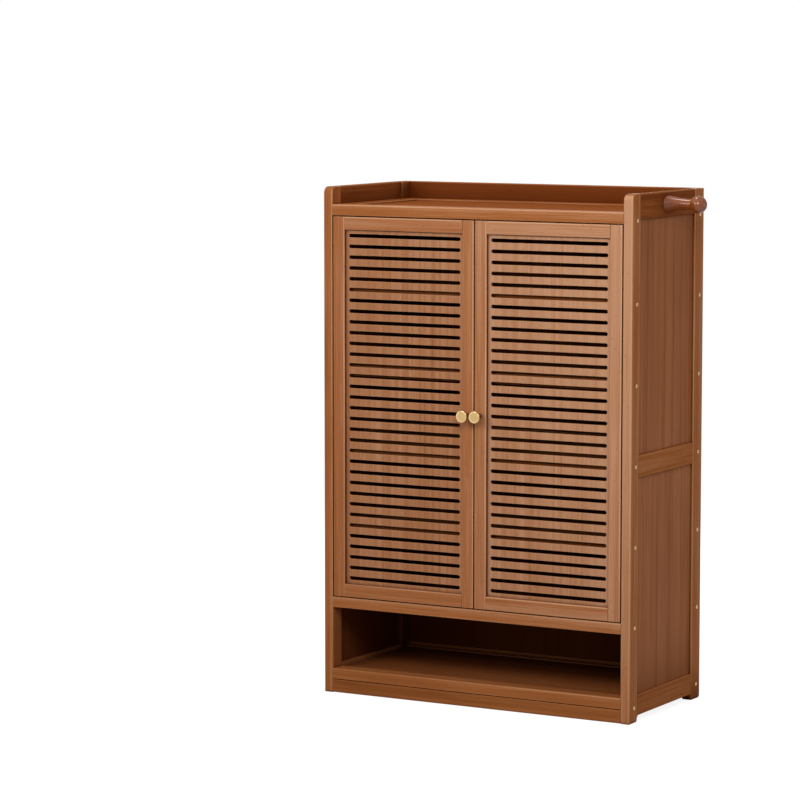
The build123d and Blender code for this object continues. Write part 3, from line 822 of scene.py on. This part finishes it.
@dataclass(frozen=True)
class MouldedNylon:
    """Dark brown plastic with a fine moulded texture.

    Attributes:
        base: Colour of most of the plastic.
        shade: Colour of its slightly darker parts.
        shade_share: How much the darkest part is shaded.
        gloss: Roughness at its smoothest.
        gloss_spread: How much rougher its dullest places are.
        reflection: Strength of its reflections.
        grit_scale: Features of the moulded texture per metre.
        cloud_scale: Features of the shading per metre.
        relief: Height of the moulded texture, in metres.
    """

    base: Colour = (0.075, 0.036, 0.017)
    shade: Colour = (0.045, 0.021, 0.010)
    shade_share: float = 0.6
    gloss: float = 0.5
    gloss_spread: float = 0.16
    reflection: float = 0.1
    grit_scale: float = 2600.0
    cloud_scale: float = 180.0
    relief: float = 0.00003

    def material(self, name: str) -> bpy.types.Material:
        """Make the finish.

        Args:
            name: Name of the piece.

        Returns:
            The material.
        """
        graph = Graph(f"nylon_{name}")
        place = graph.place()
        grit = graph.noise(place, self.grit_scale, FINE_LAYERS)
        cloud = graph.noise(place, self.cloud_scale)
        colour = graph.blend(graph.spread(cloud, 0.0, self.shade_share), self.base, self.shade)
        roughness = graph.spread(grit, self.gloss, self.gloss + self.gloss_spread)
        graph.finish(colour, roughness, grit, self.relief)
        graph.set_shader(Specular_IOR_Level=self.reflection)
        return graph.material


@dataclass(frozen=True)
class Finishes:
    """Finishes that the sub-assemblies share.

    Attributes:
        frame: Front posts, and the rails of front, floor, bottom and back.
        back_post: Back posts, with stain and painted shade reaching far out of their corners.
        door: Stiles and rails of the doors, with pale rubbed edges that carry a painted highlight, and
            painted shade in their gaps and recesses.
        plinth: Plinth board, with painted shade on its narrow top and bottom faces.
        board: Panels of the sides, darker, with stain and painted shade reaching far out of their corners,
            most of all inside.
        enclosed: Panels of the back, with hardly a shine, and with the board's painted shade.
        floor: Boards of the bottom and of the compartment floor, with a weaker share of the board's painted
            shade.
        side: Middle and bottom rails of the sides, which are duller.
        gallery: Rails and board round the top, with stain and painted shade inside.
        top: Back rail, end rails and panel of the top, dark and dull.
        inner: Shelves, darker as painted shade inside the closed cabinet.
        slotted: Boards of the doors, whose strips show most, with painted shade deep in the corners of
            their recesses.
        turned: Peg, darkest of the outer pieces, with a clear top coat.
        brass: Knobs, with a painted highlight on their rims and painted shade at their feet.
        bolt_brass: Bolts.
        nickel: Magnets.
        steel: Strike plates.
        black_steel: Pivot pins.
        nylon: Bushes.
    """

    frame: Bamboo = Bamboo(reflection=0.008, corner_shade_and_stain=1.0)
    back_post: Bamboo = replace(frame, corner_reach=0.12, corner_shade_and_stain=1.5)
    door: Bamboo = Bamboo(
        middle=(0.36, 0.126, 0.043),
        worn=(0.72, 0.420, 0.250),
        reflection=0.07,
        corner_shade_and_stain=1.25,
        narrow_face_shade=0.9,
        edge_width=0.004,
    )
    plinth: Bamboo = Bamboo(reflection=0.008, narrow_face_shade=0.9, worn=(0.44, 0.180, 0.075))
    board: Bamboo = Bamboo(
        dark=(0.155, 0.046, 0.012),
        middle=(0.31, 0.105, 0.033),
        light=(0.44, 0.180, 0.075),
        strip_width=0.0056,
        band_contrast=0.15,
        reflection=0.02,
        corner_reach=0.25,
        corner_shade_and_stain=1.4,
    )
    enclosed: Bamboo = replace(board, reflection=0.004)
    floor: Bamboo = replace(board, reflection=0.004, corner_shade_and_stain=0.7)
    side: Bamboo = Bamboo(worn=(0.42, 0.160, 0.060), gloss=0.5, reflection=0.008)
    gallery: Bamboo = Bamboo(
        dark=(0.185, 0.048, 0.011),
        middle=(0.35, 0.112, 0.031),
        worn=(0.42, 0.160, 0.060),
        gloss=0.5,
        reflection=0.008,
        corner_reach=0.07,
        corner_shade_and_stain=1.9,
    )
    top: Bamboo = Bamboo(
        dark=(0.140, 0.034, 0.008),
        middle=(0.25, 0.069, 0.016),
        light=(0.36, 0.120, 0.038),
        gloss=0.62,
        reflection=0.003,
    )
    # Darker colours stand for painted shade inside the closed cabinet
    inner: Bamboo = Bamboo(
        dark=(0.10, 0.030, 0.009),
        middle=(0.21, 0.069, 0.021),
        light=(0.31, 0.114, 0.040),
        worn=(0.31, 0.114, 0.040),
        strip_width=0.0056,
        gloss=0.6,
        reflection=0.02,
        corner_reach=0.03,
    )
    slotted: Bamboo = Bamboo(
        middle=(0.36, 0.149, 0.064),
        light=(0.505, 0.266, 0.150),
        strip_width=0.0058,
        strip_contrast=0.2,
        gloss=0.34,
        reflection=0.12,
        corner_reach=0.016,
        corner_shade_and_stain=1.1,
        cut_stain=0.95,
    )
    turned: Bamboo = Bamboo(
        dark=(0.115, 0.026, 0.005),
        middle=(0.23, 0.056, 0.010),
        light=(0.35, 0.105, 0.027),
        worn=(0.35, 0.105, 0.027),
        reflection=0.004,
        coat=0.3,
        corner_reach=0.05,
    )
    brass: TurnedMetal = TurnedMetal(
        base=(0.59, 0.39, 0.138),
        worn=(0.47, 0.31, 0.11),
        polished=(0.98, 0.72, 0.42),
        tarnish=(0.12, 0.045, 0.015),
        gloss=0.14,
        edge_width=0.0026,
        corner_reach=0.012,
    )
    bolt_brass: TurnedMetal = TurnedMetal(
        base=(0.70, 0.44, 0.20),
        worn=(0.55, 0.33, 0.14),
        polished=(0.86, 0.61, 0.34),
        tarnish=(0.14, 0.05, 0.015),
        corner_reach=0.005,
    )
    nickel: TurnedMetal = TurnedMetal(
        base=(0.66, 0.65, 0.62),
        worn=(0.48, 0.47, 0.45),
        polished=(0.80, 0.80, 0.78),
        tarnish=(0.30, 0.29, 0.27),
    )
    steel: BrushedMetal = BrushedMetal()
    black_steel: BrushedMetal = BrushedMetal(
        base=(0.045, 0.038, 0.032),
        worn=(0.025, 0.02, 0.017),
        gloss=0.45,
    )
    nylon: MouldedNylon = MouldedNylon()


@dataclass
class Assembly:
    """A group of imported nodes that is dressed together.

    Attributes:
        finishes: Finishes of the cabinet.
        numbers: Gives each wooden piece of the cabinet its number.
        dressed: Names of the nodes that have their finish.
    """

    finishes: Finishes
    numbers: Iterator[int]
    dressed: list[str] = field(default_factory=list)

    def build(self) -> None:
        """Dress the nodes of the group."""
        raise NotImplementedError

    def dress(self, node: str, material: bpy.types.Material) -> None:
        """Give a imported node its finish.

        Args:
            node: Name of the node.
            material: Its finish.
        """
        for slot in frame["nodes"][node].material_slots:
            slot.material = material
        self.dressed.append(node)
        LOG.info("%s: %s has its finish", type(self).__name__, node)

    def wood(self, node: str, finish: Bamboo, grain: Axis, across: Axis) -> None:
        """Give a wooden node its own piece of bamboo, with its fibres and its strips' direction."""
        self.dress(node, finish.material(node, grain, across, next(self.numbers)))


@dataclass
class SideFrame(Assembly):
    """Posts, rails and panels of one side.

    Attributes:
        side: Which side.
    """

    side: Side = Side.LEFT

    def build(self) -> None:
        """Dress the side."""
        name = self.side.value
        self.wood(f"{name}_front_post", self.finishes.frame, Axis.Z, Axis.X)
        self.wood(f"{name}_back_post", self.finishes.back_post, Axis.Z, Axis.X)
        self.wood(f"{name}_side_top_rail", self.finishes.gallery, Axis.Y, Axis.Z)
        for rail in ("side_mid_rail", "side_bottom_rail"):
            self.wood(f"{name}_{rail}", self.finishes.side, Axis.Y, Axis.Z)
        for panel in ("side_upper_panel", "side_lower_panel"):
            self.wood(f"{name}_{panel}", self.finishes.board, Axis.Z, Axis.Y)


@dataclass
class Door(Assembly):
    """One slotted door with its fittings.

    Attributes:
        side: Which door.
    """

    side: Side = Side.LEFT

    def build(self) -> None:
        """Dress the door."""
        name = self.side.value
        for stile in ("hinge_stile", "meeting_stile"):
            self.wood(f"{name}_{stile}", self.finishes.door, Axis.Z, Axis.X)
        for rail in ("door_top_rail", "door_bottom_rail"):
            self.wood(f"{name}_{rail}", self.finishes.door, Axis.X, Axis.Z)
        self.wood(f"{name}_slotted_board", self.finishes.slotted, Axis.Z, Axis.X)
        self._dress_fittings(name)

    def _dress_fittings(self, name: str) -> None:
        """Dress the knob, the strike plate and the pivot pins.

        Args:
            name: Name of the door's side.
        """
        low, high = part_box(f"{name}_knob")
        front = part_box(f"{name}_meeting_stile")[0]
        centre = (low + high) / 2
        brass = self.finishes.brass.material(f"{name}_knob", centre, Axis.Y, front.y - centre.y)
        self.dress(f"{name}_knob", brass)
        plate, pins = f"{name}_strike_plate", f"{name}_pivot_pins"
        self.dress(plate, self.finishes.steel.material(plate, Axis.X))
        self.dress(pins, self.finishes.black_steel.material(pins, Axis.Z))


@dataclass
class FramedTop(Assembly):
    """Top frame, its sunk panel and the gallery board."""

    def build(self) -> None:
        """Dress the top."""
        self.wood("top_front_rail", self.finishes.frame, Axis.X, Axis.Z)
        self.wood("top_back_rail", self.finishes.top, Axis.X, Axis.Z)
        self.wood("gallery_board", self.finishes.gallery, Axis.X, Axis.Z)
        for side in Side:
            self.wood(f"{side.value}_top_end_rail", self.finishes.top, Axis.Y, Axis.X)
        self.wood("top_panel", self.finishes.top, Axis.X, Axis.Y)


@dataclass
class ShelfStack(Assembly):
    """Inner shelves, compartment floor, bottom and plinth.

    Attributes:
        shelves: Number of shelves behind the doors.
    """

    shelves: int = 4

    def build(self) -> None:
        """Dress the shelves."""
        for number in range(1, self.shelves + 1):
            self.wood(f"shelf_{number}_rails", self.finishes.inner, Axis.X, Axis.Z)
            self.wood(f"shelf_{number}_board", self.finishes.inner, Axis.X, Axis.Y)
        for level in ("floor", "bottom"):
            self.wood(f"{level}_front_rail", self.finishes.frame, Axis.X, Axis.Z)
            self.wood(f"{level}_back_rail", self.finishes.frame, Axis.X, Axis.Z)
            self.wood(f"{level}_board", self.finishes.floor, Axis.X, Axis.Y)
        self.wood("plinth", self.finishes.plinth, Axis.X, Axis.Z)


@dataclass
class BackFrame(Assembly):
    """Rails and thin panels of the back."""

    def build(self) -> None:
        """Dress the back."""
        for rail in ("back_mid_rail", "back_bottom_rail"):
            self.wood(rail, self.finishes.frame, Axis.X, Axis.Z)
        for panel in ("back_upper_panel", "back_lower_panel"):
            self.wood(panel, self.finishes.enclosed, Axis.Z, Axis.X)


@dataclass
class Fittings(Assembly):
    """Bolts, bushes and magnets of the carcass, and the turned peg."""

    def build(self) -> None:
        """Dress the fittings."""
        bolts = self.finishes.bolt_brass.material("frame_bolts", Vector(), Axis.X)
        self.dress("frame_bolts", bolts)
        self.dress("pivot_bushes", self.finishes.nylon.material("pivot_bushes"))
        self.dress("door_magnets", self.finishes.nickel.material("door_magnets", Vector(), Axis.Y))
        self.wood("hanging_peg", self.finishes.turned, Axis.X, Axis.Z)


@dataclass(frozen=True)
class Lamp:
    """A soft square lamp.

    Attributes:
        name: Name of the lamp.
        place: Where it hangs, in metres.
        target: Point that it faces, in metres.
        size: Side of the square, in metres.
        power: Power in watts.
        colour: Colour of its light.
    """

    name: str
    place: Point
    target: Point
    size: float
    power: float
    colour: Colour = (1.0, 0.97, 0.93)

    def build(self) -> None:
        """Hang the lamp."""
        data = bpy.data.lights.new(self.name, "AREA")
        data.shape = "SQUARE"
        data.size = self.size
        data.energy = self.power
        data.color = self.colour
        lamp = bpy.data.objects.new(self.name, data)
        lamp.location = self.place
        aim = Vector(self.target) - Vector(self.place)
        lamp.rotation_euler = aim.to_track_quat("-Z", "Y").to_euler()
        bpy.context.scene.collection.objects.link(lamp)


@dataclass(frozen=True)
class Studio:
    """Floor, light and camera.

    Attributes:
        lamps: The lamps: two in front, one above, one to the right and one behind.
        world_level: Brightness of the surrounding light.
        floor_radius: Radius of the round floor, in metres.
        floor_corners: Number of corners of its outline.
        floor_grey: Brightness of the floor's paint.
        floor_roughness: Roughness of the floor's paint.
        floor_glow: How much the floor glows for the camera, so that it looks white outside the shadow.
        camera_place: Where the camera stands, in metres.
        camera_yaw: Turn of the camera from straight in front, in degrees.
        camera_pitch: How far it looks down, in degrees.
        sensor: Width of the camera's sensor, in millimetres.
        lens: Focal length, in millimetres.
    """

    lamps: tuple[Lamp, ...] = (
        Lamp("key_light", (-0.75, -2.35, 1.7), (0.05, -0.15, 0.75), 1.0, 23.5, (1.0, 0.98, 0.95)),
        Lamp("fill_light", (1.0, -2.0, 1.75), (0.25, -0.15, 0.9), 0.8, 22.0),
        Lamp("top_light", (-0.15, 0.1, 2.6), (0.0, 0.0, 1.0), 0.4, 10.0),
        Lamp("side_light", (2.4, 0.8, 0.9), (0.35, 0.0, 0.6), 1.2, 8.0, (1.0, 0.80, 0.55)),
        Lamp("back_light", (-0.9, 2.4, 0.8), (0.0, 0.16, 0.6), 0.8, 14.0),
    )
    world_level: float = 0.42
    floor_radius: float = 14.0
    floor_corners: int = 96
    floor_grey: float = 0.32
    floor_roughness: float = 0.9
    floor_glow: float = 0.87
    camera_place: Point = (3.2113, -6.0837, 1.3483)
    camera_yaw: float = 29.742
    camera_pitch: float = 6.121
    sensor: float = 36.0
    lens: float = 152.08

    def build(self) -> None:
        """Make the studio."""
        self._world()
        self._floor()
        for lamp in self.lamps:
            lamp.build()
        self._camera()

    def _seen(self, tree: bpy.types.NodeTree) -> Socket:
        """Find the rays that show the white surroundings.

        Args:
            tree: Node tree of the world or of a material.

        Returns:
            A number that is 1 for camera, glossy and transmitted rays.
        """
        path = tree.nodes.new("ShaderNodeLightPath").outputs
        total = path["Is Camera Ray"]
        for name in ("Is Glossy Ray", "Is Transmission Ray"):
            either = tree.nodes.new("ShaderNodeMath")
            either.operation = "MAXIMUM"
            tree.links.new(total, either.inputs[0])
            tree.links.new(path[name], either.inputs[1])
            total = either.outputs[0]
        return total

    def _world(self) -> None:
        """Make an even pale world that looks white."""
        world = bpy.data.worlds.new("studio")
        world.use_nodes = True
        bpy.context.scene.world = world
        tree = world.node_tree
        background = tree.nodes["Background"]
        background.inputs["Color"].default_value = (*WHITE, 1.0)
        level = tree.nodes.new("ShaderNodeMapRange")
        level.inputs["To Min"].default_value = self.world_level
        level.inputs["To Max"].default_value = 1.0
        tree.links.new(self._seen(tree), level.inputs["Value"])
        tree.links.new(level.outputs["Result"], background.inputs["Strength"])

    def _floor(self) -> None:
        """Make the pale floor, which keeps the cabinet's shadow."""
        mesh = bpy.data.meshes.new("studio_floor")
        shape = bmesh.new()
        bmesh.ops.create_circle(shape, cap_ends=True, segments=self.floor_corners, radius=self.floor_radius)
        shape.to_mesh(mesh)
        shape.free()
        floor = bpy.data.objects.new("studio_floor", mesh)
        bpy.context.scene.collection.objects.link(floor)
        mesh.materials.append(self._floor_paint())

    def _floor_paint(self) -> bpy.types.Material:
        """Make the floor's paint.

        Returns:
            The material.
        """
        graph = Graph("studio_floor")
        grey = self.floor_grey
        graph.shader.inputs["Base Color"].default_value = (grey, grey, grey, 1.0)
        graph.shader.inputs["Emission Color"].default_value = (*WHITE, 1.0)
        graph.set_shader(Roughness=self.floor_roughness, Specular_IOR_Level=0.0)
        glow = graph.maths("MULTIPLY", self._seen(graph.tree), self.floor_glow)
        graph.feed(graph.shader.inputs["Emission Strength"], glow)
        return graph.material

    def _camera(self) -> None:
        """Add the camera at the photograph's viewing angle."""
        data = bpy.data.cameras.new("camera")
        data.sensor_width = self.sensor
        data.lens = self.lens
        camera = bpy.data.objects.new("camera", data)
        camera.location = self.camera_place
        tilt = math.radians(90.0 - self.camera_pitch)
        camera.rotation_euler = (tilt, 0.0, math.radians(self.camera_yaw))
        bpy.context.scene.collection.objects.link(camera)
        bpy.context.scene.camera = camera
        bpy.context.scene.view_settings.view_transform = "Standard"


def main() -> None:
    """Dress the cabinet, sub-assembly by sub-assembly, and set up the studio."""
    logging.basicConfig(level=logging.INFO, format="%(name)s: %(message)s")
    finishes = Finishes()
    numbers = count(1)
    groups: list[Assembly] = []
    for side in Side:
        groups.append(SideFrame(finishes, numbers, side=side))
        groups.append(Door(finishes, numbers, side=side))
    for kind in (FramedTop, ShelfStack, BackFrame, Fittings):
        groups.append(kind(finishes, numbers))
    for group in groups:
        group.build()
    left = sorted(set(frame["nodes"]) - {node for group in groups for node in group.dressed})
    LOG.info("nodes without a finish: %s", left or "none")
    Studio().build()


if __name__ == "__main__":
    main()
